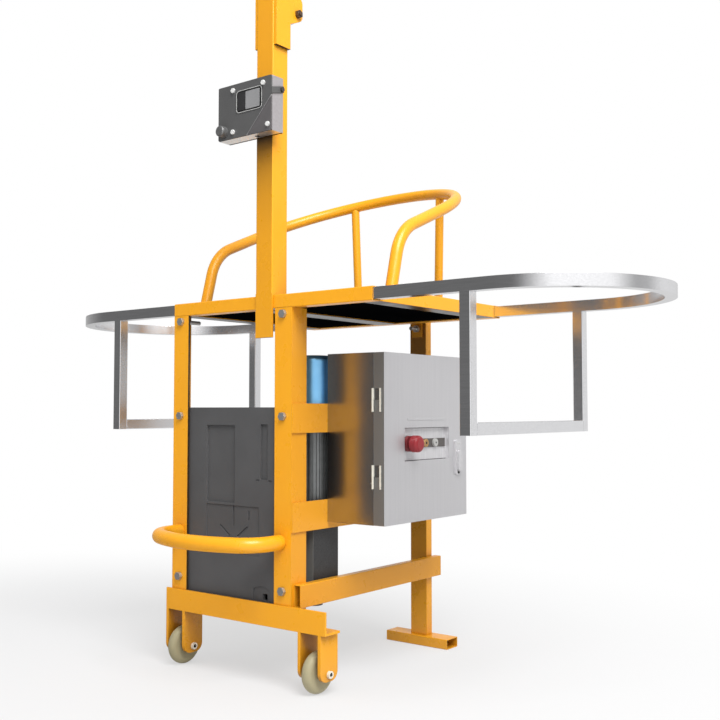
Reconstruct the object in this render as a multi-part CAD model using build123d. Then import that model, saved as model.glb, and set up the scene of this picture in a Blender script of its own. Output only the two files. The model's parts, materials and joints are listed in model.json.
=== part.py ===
from build123d import *
import math
import os

# One-person suspended work platform: a seat frame on a wheeled stand, with a mast in front,
# a backrest hoop, two pull-out side carriers, a rope hoist, a control box and a safety lock.
# Millimetres. X runs across the seat, Y from front to rear, Z up from the floor.
# In the sections below X = 0 is the middle of the seat and Y = 0 the front of the front beam.

# Seat frame
seat_width = 600
seat_depth = 525
seat_top = 860
frame_tube = 30
frame_wall = 2
bearer_offset = -24
ledge_reach = 14
ledge_thick = 3
board_thick = 22
board_gap = 0.5
rope_notch_width = 34
rope_notch_length = 70
tab_width = 30
tab_drop = 36
tab_thick = 5

# Mast and its head
mast_side = 50
mast_wall = 5
mast_height = 700
tongue_drop = 65
cheek_thick = 8
cheek_inset = 3
cheek_drop = 133
lug_height = 73
lug_rise = 18.6
lug_round = 17
pulley_radius = 17
pulley_tread = 22
pulley_hub_radius = 11
rope_diameter = 8
rope_play = 1
rope_hole_play = 2

# Stand: two angle-iron uprights on a base angle, a rear leg and side bars
angle_side = 50
angle_thick = 5
right_face = 80
base_bottom = 130
base_left_overhang = 14
base_right_overhang = 100
side_bar_thick = 20
side_bar_wall = 2
low_rail_height = 50
low_rail_bottom = 176
low_rail_front = 9
low_rail_tail = 11
support_bar_height = 65
support_bar_thick = 4
upper_bar_middle = 586
lower_bar_middle = 370
leg_width = 50
leg_depth = 25
leg_wall = 2
leg_top_drop = 4
foot_length = 187
foot_depth = 50
foot_height = 25

# Socket-head bolts that the wheels and the pulley turn on
axle_diameter = 10
axle_head_radius = 8
axle_head_height = 6
axle_socket_flats = 8
axle_socket_depth = 4
axle_nut_flats = 17
axle_nut_height = 8
axle_tail = 3

# Forks and wheels
wheel_diameter = 90
wheel_width = 26
wheel_edge = 12
wheel_hub_radius = 15
fork_width = 64
fork_plate = 8
fork_depth = 57
fork_inset = 12
fork_bridge = 4
fork_bridge_inset = 20
fork_corner = 20
fork_below_axle = 15

# Footrest and backrest
footrest_tube = 33.7
footrest_wall = 3.2
footrest_height = 315
footrest_reach = 77
footrest_bow = 67
footrest_bend = 70
footrest_straight = 3.75
footrest_inset = 25
footrest_far_inset = 18
back_tube = 26.9
back_wall = 2.6
back_base = 87
back_bend_y = 121
back_bend_rise = 134
back_rear_y = 536
back_rear_rise = 312
back_low_bend = 110
back_rear_straight = 10
post_diameter = 21.3
post_base_x = 129
post_top_x = 138

# Side carriers
carrier_wall = 2
carrier_insert = 200
carrier_straight = 265
drop_offset = 220
drop_length = 277.5

# Bolts through the uprights and the rear leg
bolt_diameter = 10
bolt_head_flats = 17
bolt_head_height = 7
bolt_length = 58
bolt_drop = 14
case_bolt_low = 210
case_bolt_high = 590

# Safety lock on the mast
lock_width = 164
lock_height = 123
lock_depth = 38.7
lock_bottom = 1218
lock_left = -108
lock_wall = 4
lock_cover_thick = 4
lock_cover_corner = 3
lock_bolt_left = 48
lock_bolt_high_right = 23
lock_bolt_low_right = 9
lock_bolt_inset = 14
lock_bolt_diameter = 6
lock_bolt_flats = 10
lock_bolt_head = 4
lock_boss_radius = 6
lock_rope_x = -5
jaw_height = 100
jaw_depth = 18
jaw_length = 24
jaw_travel = 4.5
jaw_bar_height = 10
jaw_foot_length = 7
strap_height = 14
strap_thick = 3
strap_drop = 28
strap_rise = 10
strap_screw_inset = 7
nameplate_left = 58
nameplate_width = 79
nameplate_drop = 18
nameplate_height = 51
nameplate_thick = 0.8
nameplate_corner = 8
rib_high = 73
rib_across = 70
rib_margin = 3
rib_width = 2
rib_stand = 0.6
knob_left = 20
knob_up = 18
knob_radius = 12.5
knob_height = 18
knob_edge = 4
knob_shaft_diameter = 8
cam_radius = 8

# Control box
box_front = 118.5
box_depth = 338
box_height = 379
box_bottom = 352
box_reach = 159
door_thick = 28
sheet = 2
door_gap = 0.5
hinge_height = 52
hinge_radius = 2.4
hinge_pin_radius = 1.3
hinge_set_back = 1
hinge_leaf_thick = 1
hinge_leaf_width = 22
hinge_bar_width = 4.5
hinge_bar_thick = 2
hinge_low_middle = 457.5
hinge_high_middle = 626
window_margin = 78
window_bottom = 137
window_height = 75
window_recess = 8
window_flange = 10
panel_seam_inset = 27
panel_seam = 1
bead_front = 89
bead_length = 152
bead_middle = 231
bead_height = 5
bead_stand = 0.8
strip_height = 20
strip_thick = 2
strip_end_gap = 5
button_line = 176
estop_place = 102
estop_head_radius = 19
estop_head_height = 20
estop_head_round = 8
estop_collar_radius = 18
estop_collar_height = 9
estop_stem_radius = 6
estop_travel = 6
button_radius = 9.5
button_travel = 3
button_rest = 2
button_edge = 1
start_button_place = 170
test_button_place = 210
latch_inset = 41
latch_middle = 139.5
latch_width = 26
latch_height = 85
latch_corner = 6.5
latch_base_thick = 4
latch_grip_width = 16
latch_grip_above = 17
latch_grip_below = 34
latch_grip_corner = 7
latch_grip_thick = 6
latch_shaft_radius = 5
latch_cam_width = 13
latch_cam_reach = 21
latch_cam_thick = 4
plate_inset = 20
plate_stand = 4
plate_boss_radius = 8
contactor_width = 45
contactor_height = 80
contactor_depth = 42
contactor_nose_height = 40
contactor_nose_depth = 28
contactor_pitch = 58
terminal_height = 45
terminal_depth = 40
gland_flats = 20
gland_nut_height = 9
gland_thread_radius = 8
gland_bore_radius = 4
gland_length = 18
gland_tail = 6
gland_pitch = 34

# Rope hoist
hoist_left_lap = 3.5
hoist_right_gap = 6
hoist_top = 610
hoist_front = 8
cover_depth = 22
cover_wall = 6
case_depth = 56
case_wall = 8
lug_block_height = 40
lug_block_depth = 35
lug_block_reach = 16
rope_offset = 22.4
sheave_radius = 84
sheave_width = 30
sheave_z = 265
main_shaft_diameter = 30
gear_depth = 88
gear_wall = 8
gear_right = 70
gear_bottom = 168
gear_height = 194
worm_side_gap = 2
worm_cap_radius = 22
worm_cap_height = 12
wheel_tip_radius = 84
wheel_teeth = 42
tooth_depth = 5
gear_face = 22
worm_tip_radius = 20
worm_length = 70
mesh_gap = 1
motor_core_radius = 44
motor_fin_reach = 5
motor_fin_thick = 2.5
motor_fin_count = 36
motor_fin_margin = 16
motor_bore_radius = 38
motor_end_wall = 8
motor_height = 256
motor_cover_radius = 49
motor_cover_height = 112
motor_cover_corner = 14
motor_cover_wall = 3
rotor_radius = 34
rotor_length = 150
rotor_shaft_diameter = 22
rotor_tail = 8
bearing_ring = 8
bearing_pocket = 4

# Relief on the hoist's front cover
relief_depth = 5
relief_corner = 2
groove_depth = 2
groove_width = 4
panel_left = 61
panel_width = 92
panel_drop = 41
panel_height = 178
slot_right = 22
slot_width = 22
slot_drop = 38
slot_height = 124
dash_length = 11
dash_height = 4
dash_gap = 3
skirt_width = 169
skirt_drop = 224
skirt_height = 110
mark_place = 88
mark_width = 88
mark_drop = 46
mark_height = 24
mark_open = 12
slit_right = 33
slit_drop = 10
slit_height = 20
arch_right = 14
arch_width = 50
arch_drop = 398
arch_rise = 8
port_size = 14
port_right = 22
port_drop = 414

# Clearances
run_gap = 0.05
side_gap = 0.3
bolt_gap = 0.5
carrier_gap = 0.5

# Places that several pieces share
half_width = seat_width / 2
carrier_tube = frame_tube - 2 * (frame_wall + carrier_gap)
rope_groove = rope_diameter / 2 + rope_play
rope_hole = rope_diameter / 2 + rope_hole_play
beam_under = seat_top - frame_tube
beam_middle_z = seat_top - frame_tube / 2
rear_beam_y = seat_depth - frame_tube / 2
mast_front = -mast_wall
mast_back = mast_front + mast_side
mast_top = seat_top + mast_height
left_face = -half_width
left_bolt_x = left_face + angle_side / 2
right_bolt_x = right_face - angle_side / 2
base_top = base_bottom + angle_thick
leg_back = seat_depth + leg_depth
leg_middle_x = right_face - leg_width / 2
tab_bolt_z = beam_under - bolt_drop
box_back_x = right_face + support_bar_thick
box_face_x = box_back_x + box_reach
seam_x = box_face_x - door_thick
box_rear = box_front + box_depth
box_top = box_bottom + box_height
hoist_left = left_face + angle_side - hoist_left_lap
hoist_right = right_face - angle_side - hoist_right_gap
case_front = hoist_front + cover_depth
case_back = case_front + case_depth
rope_y = case_front + rope_offset
gear_back = case_back + gear_depth
gear_top = gear_bottom + gear_height
sheave_x = -sheave_radius
motor_x = sheave_x + wheel_tip_radius + worm_tip_radius + mesh_gap
motor_y = gear_back - gear_wall - worm_side_gap - worm_tip_radius
motor_top = gear_top + motor_height
shaft_seat = main_shaft_diameter / 2 + run_gap + bearing_ring
rotor_seat = rotor_shaft_diameter / 2 + run_gap + bearing_ring
rear_seat_end = gear_back - gear_wall + bearing_pocket
worm_seat_end = gear_bottom + gear_wall - bearing_pocket
lock_front = mast_front - lock_depth
lock_right = lock_left + lock_width
lock_top = lock_bottom + lock_height
lock_middle_y = mast_front - (lock_depth - lock_cover_thick) / 2
pulley_y = rope_y + pulley_radius
lug_bottom = mast_top - lug_height
lug_back = pulley_y + lug_round
lug_slope = lug_rise / (lug_back - mast_back)
pulley_z = lug_bottom + lug_slope * (pulley_y - mast_back) + lug_round * math.hypot(1, lug_slope)
wheel_z = wheel_diameter / 2
left_fork_x = left_face - base_left_overhang
right_fork_x = right_face + base_right_overhang - fork_inset - fork_width
fork_middle_y = mast_front + fork_depth / 2
footrest_left = left_face + footrest_inset
footrest_right = right_face - angle_side + footrest_far_inset
footrest_half = (footrest_right - footrest_left) / 2
footrest_turn = math.atan2(footrest_bow, footrest_half)
footrest_corner_run = footrest_bend * math.tan(math.pi / 4 - footrest_turn / 2)
footrest_bow_run = math.hypot(footrest_half, footrest_bow) - footrest_corner_run - footrest_straight
footrest_bow_radius = footrest_bow_run / math.tan(footrest_turn)
footrest_cut = footrest_bow_radius * (1 / math.cos(footrest_turn) - 1)
footrest_front = footrest_cut - footrest_reach - footrest_bow - footrest_tube / 2
foot_back = seat_depth + leg_depth / 2 + foot_depth / 2
origin_y = (footrest_front + foot_back) / 2


# Basic shapes
def block(x0, x1, y0, y1, z0, z1):
    solid = Box(x1 - x0, y1 - y0, z1 - z0, align=(Align.MIN, Align.MIN, Align.MIN))
    return Pos(x0, y0, z0) * solid


def rod_x(x0, x1, y, z, radius):
    solid = Cylinder(radius, x1 - x0, align=(Align.CENTER, Align.CENTER, Align.MIN))
    return Pos(x0, y, z) * Rot(0, 90, 0) * solid


def rod_y(x, y0, y1, z, radius):
    solid = Cylinder(radius, y1 - y0, align=(Align.CENTER, Align.CENTER, Align.MIN))
    return Pos(x, y0, z) * Rot(-90, 0, 0) * solid


def rod_z(x, y, z0, z1, radius):
    solid = Cylinder(radius, z1 - z0, align=(Align.CENTER, Align.CENTER, Align.MIN))
    return Pos(x, y, z0) * solid


def box_section(width, height, wall):
    corner = wall
    return RectangleRounded(width, height, corner) - Rectangle(width - 2 * wall, height - 2 * wall)


def tube_x(x0, x1, y, z, width, height, wall):
    place = Plane(origin=(x0, y, z), x_dir=(0, 1, 0), z_dir=(1, 0, 0))
    return extrude(place * box_section(width, height, wall), x1 - x0)


def tube_y(y0, y1, x, z, width, height, wall):
    place = Plane(origin=(x, y0, z), x_dir=(1, 0, 0), z_dir=(0, 1, 0))
    return extrude(place * box_section(width, height, wall), y1 - y0)


def tube_z(z0, z1, x, y, width, depth, wall):
    return extrude(Pos(x, y, z0) * box_section(width, depth, wall), z1 - z0)


def hexagon(flats, height):
    return extrude(RegularPolygon(flats / math.sqrt(3), 6), height)


def round_tube(path, diameter, wall):
    start = Plane(origin=path @ 0, z_dir=path % 0)
    outer = sweep(start * Circle(diameter / 2), path=path)
    inner = sweep(start * Circle(diameter / 2 - wall), path=path)
    return outer - inner


def bolt_y(x, z, head_face, tip, nut_face):
    # head_face is the surface under the head, and the shank runs from there to the tip
    side = 1 if tip > head_face else -1
    turn = Rot(-90 * side, 0, 0)
    hexagon_end = hexagon(bolt_head_flats, bolt_head_height)
    head = Pos(x, head_face, z) * turn * Pos(0, 0, -bolt_head_height) * hexagon_end
    shank = rod_y(x, min(head_face, tip), max(head_face, tip), z, bolt_diameter / 2)
    return head + shank + Pos(x, nut_face, z) * turn * hexagon_end


def axle_bolt(x0, x1, y, z):
    # a socket-head bolt through the walls from x0 to x1, with its head at x1 and its nut at x0
    shank = rod_x(x0 - axle_nut_height - axle_tail, x1, y, z, axle_diameter / 2)
    head = rod_x(x1, x1 + axle_head_height, y, z, axle_head_radius)
    socket = Pos(x1 + axle_head_height - axle_socket_depth, y, z) * Rot(0, 90, 0)
    nut = Pos(x0 - axle_nut_height, y, z) * Rot(0, 90, 0) * hexagon(axle_nut_flats, axle_nut_height)
    return head + shank + nut - socket * hexagon(axle_socket_flats, axle_socket_depth)


# Seat frame
def seat_frame():
    def beam(y):
        return tube_x(-half_width, half_width, y, beam_middle_z, frame_tube, frame_tube, frame_wall)

    beam_tab = []
    for x in (left_bolt_x, right_bolt_x):
        tab = block(x - tab_width / 2, x + tab_width / 2, angle_thick, angle_thick + tab_thick,
                    beam_under - tab_drop, beam_under)
        beam_tab.append(tab - rod_y(x, 0, seat_depth, tab_bolt_z, bolt_diameter / 2 + bolt_gap))
    front = beam(frame_tube / 2)
    leg_tab = block(leg_middle_x - tab_width / 2, leg_middle_x + tab_width / 2, seat_depth - tab_thick,
                    seat_depth, beam_under - tab_drop, beam_under)
    leg_tab -= rod_y(leg_middle_x, 0, leg_back, tab_bolt_z, bolt_diameter / 2 + bolt_gap)
    rear = beam(rear_beam_y)

    inner_front = frame_tube
    inner_rear = seat_depth - frame_tube
    rail_x = half_width - frame_tube / 2
    ledge_top = beam_under + ledge_thick

    def rail(x, ledge_sides):
        solid = tube_y(inner_front, inner_rear, x, beam_middle_z, frame_tube, frame_tube, frame_wall)
        for side in ledge_sides:
            edge = x + side * frame_tube / 2
            tip = edge + side * ledge_reach
            root = edge - side * frame_wall
            solid += block(min(root, tip), max(root, tip), inner_front, inner_rear, beam_under, ledge_top)
        return solid

    def board(x0, x1):
        return block(x0 + board_gap, x1 - board_gap, inner_front + board_gap, inner_rear - board_gap,
                     ledge_top, ledge_top + board_thick)

    bearer_left = bearer_offset - frame_tube / 2
    bearer_right = bearer_offset + frame_tube / 2
    notch_rear = inner_front + rope_notch_length
    notch = block(bearer_right, bearer_right + rope_notch_width, inner_front, notch_rear, beam_under,
                  seat_top)
    bearer = rail(bearer_offset, (-1, 1))
    return {
        "front_beam": front + beam_tab,
        "rear_beam": rear + leg_tab,
        "left_side_rail": rail(-rail_x, (1,)),
        "right_side_rail": rail(rail_x, (-1,)),
        "seat_bearer": bearer - notch,
        "left_seat_board": board(-rail_x + frame_tube / 2, bearer_left),
        "right_seat_board": board(bearer_right, rail_x - frame_tube / 2) - notch,
    }


# Mast with its tongue over the front beam, head cheeks, and the rope pulley behind its top
def mast_and_head():
    post = block(-mast_side / 2, mast_side / 2, mast_front, mast_back, seat_top, mast_top)
    post = fillet(post.edges().filter_by(Axis.Z), mast_wall / 2)
    bore = block(-mast_side / 2 + mast_wall, mast_side / 2 - mast_wall, mast_front + mast_wall,
                 mast_back - mast_wall, seat_top, mast_top)
    tongue = block(-mast_side / 2, mast_side / 2, mast_front, mast_front + mast_wall,
                   beam_under - tongue_drop, seat_top + mast_wall)
    mast = post - bore + tongue

    # each cheek's lug slopes up behind the mast to a round end about the pulley's bolt
    front = mast_front + cheek_inset
    lug_outline = ((front, lug_bottom), (mast_back, lug_bottom), (lug_back, lug_bottom + lug_rise),
                   (lug_back, mast_top), (front, mast_top))
    cheeks = []
    for side in (-1, 1):
        inner = side * mast_side / 2
        outer = inner + side * cheek_thick
        low, high = min(inner, outer), max(inner, outer)
        strip = block(low, high, front, mast_back, mast_top - cheek_drop, mast_top)
        place = Plane(origin=(low, 0, 0), x_dir=(0, 1, 0), z_dir=(1, 0, 0))
        lug = extrude(place * Polygon(*lug_outline, align=None), cheek_thick)
        lug = fillet(lug.edges().filter_by(Axis.X).group_by(Axis.Y)[-1], lug_round)
        plate = strip + lug
        cheeks.append(plate - rod_x(low, high, pulley_y, pulley_z, axle_diameter / 2 + bolt_gap))

    hub_half = mast_side / 2 - side_gap
    pulley = rod_x(-pulley_tread / 2, pulley_tread / 2, pulley_y, pulley_z, pulley_radius)
    pulley += rod_x(-hub_half, hub_half, pulley_y, pulley_z, pulley_hub_radius)
    pulley -= Pos(0, pulley_y, pulley_z) * Rot(0, 90, 0) * Torus(pulley_radius, rope_hole)
    pulley -= rod_x(-hub_half, hub_half, pulley_y, pulley_z, axle_diameter / 2 + run_gap)
    return {"mast": mast, "mast_cheeks": cheeks, "rope_pulley": pulley}


# Stand under the seat
def stand():
    def upright(outer, side):
        # side is +1 where the side flange is at the high X face
        inner = outer - side * angle_side
        flange_x = outer - side * angle_thick
        face = block(min(outer, inner), max(outer, inner), 0, angle_thick, base_top, beam_under)
        flange = block(min(outer, flange_x), max(outer, flange_x), 0, angle_side, base_top, beam_under)
        solid = face + flange
        bolt_x = outer - side * angle_side / 2
        for z in (tab_bolt_z, case_bolt_high, case_bolt_low):
            solid -= rod_y(bolt_x, 0, angle_thick, z, bolt_diameter / 2 + bolt_gap)
        return solid

    base_left = left_face - base_left_overhang
    base_right = right_face + base_right_overhang
    base = block(base_left, base_right, mast_front, 0, base_bottom, base_bottom + angle_side)
    base += block(base_left, base_right, mast_front, mast_front + angle_side, base_bottom, base_top)

    bar_x = right_face + side_bar_thick / 2
    low_rail = tube_y(low_rail_front, leg_back + low_rail_tail, bar_x, low_rail_bottom + low_rail_height / 2,
                      side_bar_thick, low_rail_height, side_bar_wall)

    def support_bar(middle):
        return block(right_face, right_face + support_bar_thick, 0, leg_back,
                     middle - support_bar_height / 2, middle + support_bar_height / 2)

    leg_middle_y = seat_depth + leg_depth / 2
    leg_top = seat_top - leg_top_drop
    leg = tube_z(foot_height, leg_top, leg_middle_x, leg_middle_y, leg_width, leg_depth, leg_wall)
    leg -= rod_y(leg_middle_x, seat_depth, leg_back, tab_bolt_z, bolt_diameter / 2 + bolt_gap)
    foot = tube_x(leg_middle_x - foot_length / 2, leg_middle_x + foot_length / 2, leg_middle_y,
                  foot_height / 2, foot_depth, foot_height, leg_wall)

    bolts = []
    for x in (left_bolt_x, right_bolt_x):
        bolts.append(bolt_y(x, tab_bolt_z, 0, bolt_length, angle_thick + tab_thick))
        for z in (case_bolt_high, case_bolt_low):
            bolts.append(bolt_y(x, z, 0, bolt_length, angle_thick + lug_block_depth))
    bolts.append(bolt_y(leg_middle_x, tab_bolt_z, leg_back, leg_back - bolt_length, seat_depth - tab_thick))
    return {
        "left_upright": upright(left_face, -1),
        "right_upright": upright(right_face, 1),
        "base_angle": base,
        "lower_side_rail": low_rail,
        "support_bars": [support_bar(upper_bar_middle), support_bar(lower_bar_middle)],
        "rear_leg": leg,
        "foot_bar": foot,
        "frame_bolts": bolts,
    }


# Two fixed forks with plain nylon wheels
def forks_and_wheels():
    nodes = {}
    for name, x0 in (("left", left_fork_x), ("right", right_fork_x)):
        x1 = x0 + fork_width
        y0 = fork_middle_y - fork_depth / 2
        y1 = fork_middle_y + fork_depth / 2
        low = wheel_z - fork_below_axle
        fork = block(x0, x1, y0, y1, low, base_bottom)
        fork = fillet(fork.edges().filter_by(Axis.X).group_by(Axis.Z)[0], fork_corner)
        inner_x0 = x0 + fork_plate
        inner_x1 = x1 - fork_plate
        fork -= block(inner_x0, inner_x1, y0, y1, low, base_bottom - fork_bridge)
        fork -= block(inner_x0, inner_x1, y0, y0 + fork_bridge_inset, low, base_bottom)
        fork -= rod_x(x0, x1, fork_middle_y, wheel_z, axle_diameter / 2 + bolt_gap)
        nodes[name + "_fork"] = fork

        middle = (x0 + x1) / 2
        hub_half = fork_width / 2 - fork_plate - side_gap
        wheel = rod_x(middle - wheel_width / 2, middle + wheel_width / 2, fork_middle_y, wheel_z, wheel_z)
        wheel = fillet(wheel.edges(), wheel_edge)
        wheel += rod_x(middle - hub_half, middle + hub_half, fork_middle_y, wheel_z, wheel_hub_radius)
        wheel -= rod_x(x0, x1, fork_middle_y, wheel_z, axle_diameter / 2 + run_gap)
        nodes[name + "_wheel"] = wheel
    return nodes


# The bolts that the wheels and the rope pulley turn on; the pulley's has its nut on the other side
def axle_bolts():
    span = mast_side / 2 + cheek_thick
    bolts = [mirror(axle_bolt(-span, span, pulley_y, pulley_z), about=Plane.YZ)]
    for x0 in (left_fork_x, right_fork_x):
        bolts.append(axle_bolt(x0, x0 + fork_width, fork_middle_y, wheel_z))
    return {"axle_bolts": bolts}


# Bent-tube footrest in front of the uprights
def footrest():
    x0 = footrest_left
    x1 = footrest_right
    middle = (x0 + x1) / 2
    z = footrest_height
    path = FilletPolyline((x0, 0, z), (x0, -footrest_reach, z), (middle, -footrest_reach - footrest_bow, z),
                          (x1, -footrest_reach, z), (x1, 0, z),
                          radius=(footrest_bend, footrest_bow_radius, footrest_bend))
    return {"footrest_hoop": round_tube(path, footrest_tube, footrest_wall)}


# Backrest: a hoop that rises from the side rails and runs round behind, on two posts
def backrest():
    x = half_width - frame_tube / 2
    plan_bend = x - back_rear_straight / 2
    bend_z = seat_top + back_bend_rise
    rear_z = seat_top + back_rear_rise
    lean = (back_bend_y - back_base) / back_bend_rise
    start_y = back_base - lean * back_tube
    start_z = seat_top - back_tube
    path = FilletPolyline((-x, start_y, start_z), (-x, back_bend_y, bend_z), (-x, back_rear_y, rear_z),
                          (x, back_rear_y, rear_z), (x, back_bend_y, bend_z), (x, start_y, start_z),
                          radius=(back_low_bend, plan_bend, plan_bend, back_low_bend))
    below = block(-seat_width, seat_width, -seat_depth, 2 * seat_depth, 0, seat_top)
    hoop = round_tube(path, back_tube, back_wall) - below

    slope = math.atan2(rear_z - bend_z, back_rear_y - back_bend_y)
    past = max(post_top_x - back_rear_straight / 2, 0)
    inset = plan_bend - math.sqrt(plan_bend ** 2 - past ** 2)
    top_y = back_rear_y - inset * math.cos(slope)
    top_z = rear_z - inset * math.sin(slope)
    start = Plane(origin=path @ 0, z_dir=path % 0)
    hoop_solid = sweep(start * Circle(back_tube / 2), path=path)
    posts = []
    for side in (-1, 1):
        foot = Vector(side * post_base_x, rear_beam_y, seat_top)
        top = Vector(side * post_top_x, top_y, top_z)
        way = (top - foot).normalized()
        run = Plane(origin=foot - way * post_diameter, z_dir=way)
        length = (top - foot).length + post_diameter
        post = extrude(run * Circle(post_diameter / 2), length) - below - hoop_solid
        posts.append(post.solids().sort_by(Axis.Z)[0])
    return {"backrest_hoop": hoop, "backrest_posts": posts}


# One side carrier: a half-round loop that slides in the two beams, and a drop frame under it
def carrier(side):
    loop_radius = (rear_beam_y - frame_tube / 2) / 2
    loop_y = (rear_beam_y + frame_tube / 2) / 2
    loop_x = half_width + carrier_straight

    def band(width):
        ring = Circle(loop_radius + width / 2) - Circle(loop_radius - width / 2)
        half = Pos(loop_radius, 0) * Rectangle(2 * loop_radius, 4 * loop_radius)
        flat = Pos(loop_x, loop_y) * (ring & half)
        run = carrier_straight + carrier_insert
        for y in (frame_tube / 2, rear_beam_y):
            flat += Pos(loop_x - run / 2, y) * Rectangle(run, width)
        return flat

    inner_size = carrier_tube - 2 * carrier_wall
    under = beam_middle_z - carrier_tube / 2
    loop = extrude(Pos(0, 0, under) * band(carrier_tube), carrier_tube)
    loop = loop - extrude(Pos(0, 0, under + carrier_wall) * band(inner_size), inner_size)

    drop_x = half_width + drop_offset
    drop_bottom = under - drop_length
    front_y = frame_tube / 2
    pieces = []
    for y in (front_y, rear_beam_y):
        pieces.append(tube_z(drop_bottom, under, drop_x, y, carrier_tube, carrier_tube, carrier_wall))
    pieces.append(tube_y(front_y + carrier_tube / 2, rear_beam_y - carrier_tube / 2, drop_x,
                         drop_bottom + carrier_tube / 2, carrier_tube, carrier_tube, carrier_wall))
    if side < 0:
        loop = mirror(loop, about=Plane.YZ)
        pieces = [mirror(piece, about=Plane.YZ) for piece in pieces]
    return loop, pieces


def carriers():
    nodes = {}
    for name, side in (("left", -1), ("right", 1)):
        loop, pieces = carrier(side)
        nodes[name + "_carrier_loop"] = loop
        nodes[name + "_carrier_drop"] = pieces
    return nodes


# Safety lock on the front of the mast: case with its anvil, cover, rope jaw and reset knob
def safety_lock():
    case_front_y = lock_front + lock_cover_thick
    case_back_y = mast_front - lock_wall
    case = block(lock_left, lock_right, case_front_y, mast_front, lock_bottom, lock_top)
    case -= block(lock_left + lock_wall, lock_right - lock_wall, case_front_y, case_back_y,
                  lock_bottom + lock_wall, lock_top - lock_wall)
    case -= rod_z(lock_rope_x, lock_middle_y, lock_bottom, lock_top, rope_hole)

    # the cover has a tab folded round the side, and a raised rib across its lower corner
    cover = block(lock_left, lock_right, lock_front, case_front_y, lock_bottom, lock_top)
    cover = fillet(cover.edges().filter_by(Axis.Y), lock_cover_corner)
    strap_z1 = lock_top - strap_drop
    strap_z0 = strap_z1 - strap_height
    strap_face = Plane(origin=(lock_right, 0, 0), x_dir=(0, 1, 0), z_dir=(1, 0, 0))
    outline = Polygon((lock_front, strap_z0), (mast_front, strap_z0 + strap_rise),
                      (mast_front, strap_z1 + strap_rise), (lock_front, strap_z1), align=None)
    strap = extrude(strap_face * outline, strap_thick)
    rib_start = (lock_right - rib_margin, lock_bottom + rib_high)
    rib_end = (lock_right - rib_across, lock_bottom + rib_margin)
    rib_turn = math.degrees(math.atan2(rib_end[1] - rib_start[1], rib_end[0] - rib_start[0]))
    rib_length = math.dist(rib_start, rib_end)
    rib = Box(rib_length, rib_stand, rib_width, align=(Align.MIN, Align.MAX, Align.CENTER))
    cover += strap + Pos(rib_start[0], lock_front, rib_start[1]) * Rot(0, -rib_turn, 0) * rib

    high = lock_top - lock_bolt_inset
    low = lock_bottom + lock_bolt_inset
    left = lock_left + lock_bolt_left
    places = ((left, high), (left, low), (lock_right - lock_bolt_high_right, high),
              (lock_right - lock_bolt_low_right, low))
    bolt_hole = lock_bolt_diameter / 2 + bolt_gap
    bolts = []
    for x, z in places:
        case += rod_y(x, case_front_y, case_back_y, z, lock_boss_radius)
        case -= rod_y(x, case_front_y, case_back_y, z, bolt_hole)
        cover -= rod_y(x, lock_front, case_front_y, z, bolt_hole)
        head = Pos(x, lock_front, z) * Rot(90, 0, 0) * hexagon(lock_bolt_flats, lock_bolt_head)
        bolts.append(head + rod_y(x, lock_front, case_back_y - side_gap, z, lock_bolt_diameter / 2))
    screw_y = mast_front - strap_screw_inset
    screw_z = (strap_z0 + strap_z1) / 2 + strap_rise * (screw_y - lock_front) / (mast_front - lock_front)
    screw_tip = lock_right - lock_wall
    case -= rod_x(screw_tip, lock_right, screw_y, screw_z, bolt_hole)
    cover -= rod_x(lock_right, lock_right + strap_thick, screw_y, screw_z, bolt_hole)
    strap_out = lock_right + strap_thick
    head = Pos(strap_out, screw_y, screw_z) * Rot(0, 90, 0) * hexagon(lock_bolt_flats, lock_bolt_head)
    bolts.append(head + rod_x(screw_tip, strap_out, screw_y, screw_z, lock_bolt_diameter / 2))

    plate_x0 = lock_left + nameplate_left
    plate_z1 = lock_top - nameplate_drop
    plate = block(plate_x0, plate_x0 + nameplate_width, lock_front - nameplate_thick, lock_front,
                  plate_z1 - nameplate_height, plate_z1)
    plate = fillet(plate.edges().filter_by(Axis.Y), nameplate_corner)

    # the safety rope runs between an anvil in the case and a jaw that closes on it
    jaw_z0 = lock_bottom + (lock_height - jaw_height) / 2
    jaw_z1 = jaw_z0 + jaw_height
    anvil_face = lock_rope_x + rope_hole + side_gap
    case += block(anvil_face, anvil_face + jaw_length, case_back_y - jaw_depth, case_back_y, jaw_z0, jaw_z1)
    jaw_face = lock_rope_x - rope_hole - side_gap
    jaw_tail = jaw_face - jaw_length
    jaw_back = case_back_y - side_gap
    jaw_front = jaw_back - jaw_depth
    jaw = block(jaw_tail, jaw_face, jaw_front, jaw_back, jaw_z0, jaw_z1)

    # a quarter turn of the knob swings its round cam past the shaft and pushes the jaw's foot
    knob_x = lock_left + knob_left
    knob_z = lock_bottom + knob_up
    knob_back = lock_front - side_gap
    cover -= rod_y(knob_x, lock_front, case_front_y, knob_z, knob_shaft_diameter / 2 + run_gap)
    knob = rod_y(knob_x, knob_back - knob_height, knob_back, knob_z, knob_radius)
    knob = fillet(knob.edges().group_by(Axis.Y)[0], knob_edge)
    knob += rod_y(knob_x, knob_back, jaw_back, knob_z, knob_shaft_diameter / 2)
    cam_x = knob_x - jaw_travel / 2
    cam_z = knob_z + jaw_travel / 2
    knob += rod_y(cam_x, jaw_front, jaw_back, cam_z, cam_radius)
    foot_x = cam_x + cam_radius + side_gap
    bar_z0 = low + lock_boss_radius + side_gap
    bar_z1 = bar_z0 + jaw_bar_height
    jaw += block(foot_x, jaw_tail, jaw_front, jaw_back, bar_z0, bar_z1)
    jaw += block(foot_x, foot_x + jaw_foot_length, jaw_front, jaw_back, knob_z - cam_radius, bar_z1)
    return {
        "lock_case": case,
        "lock_cover": cover,
        "lock_cover_bolts": bolts,
        "lock_nameplate": plate,
        "lock_moving_jaw": jaw,
        "lock_reset_knob": knob,
    }


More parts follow.
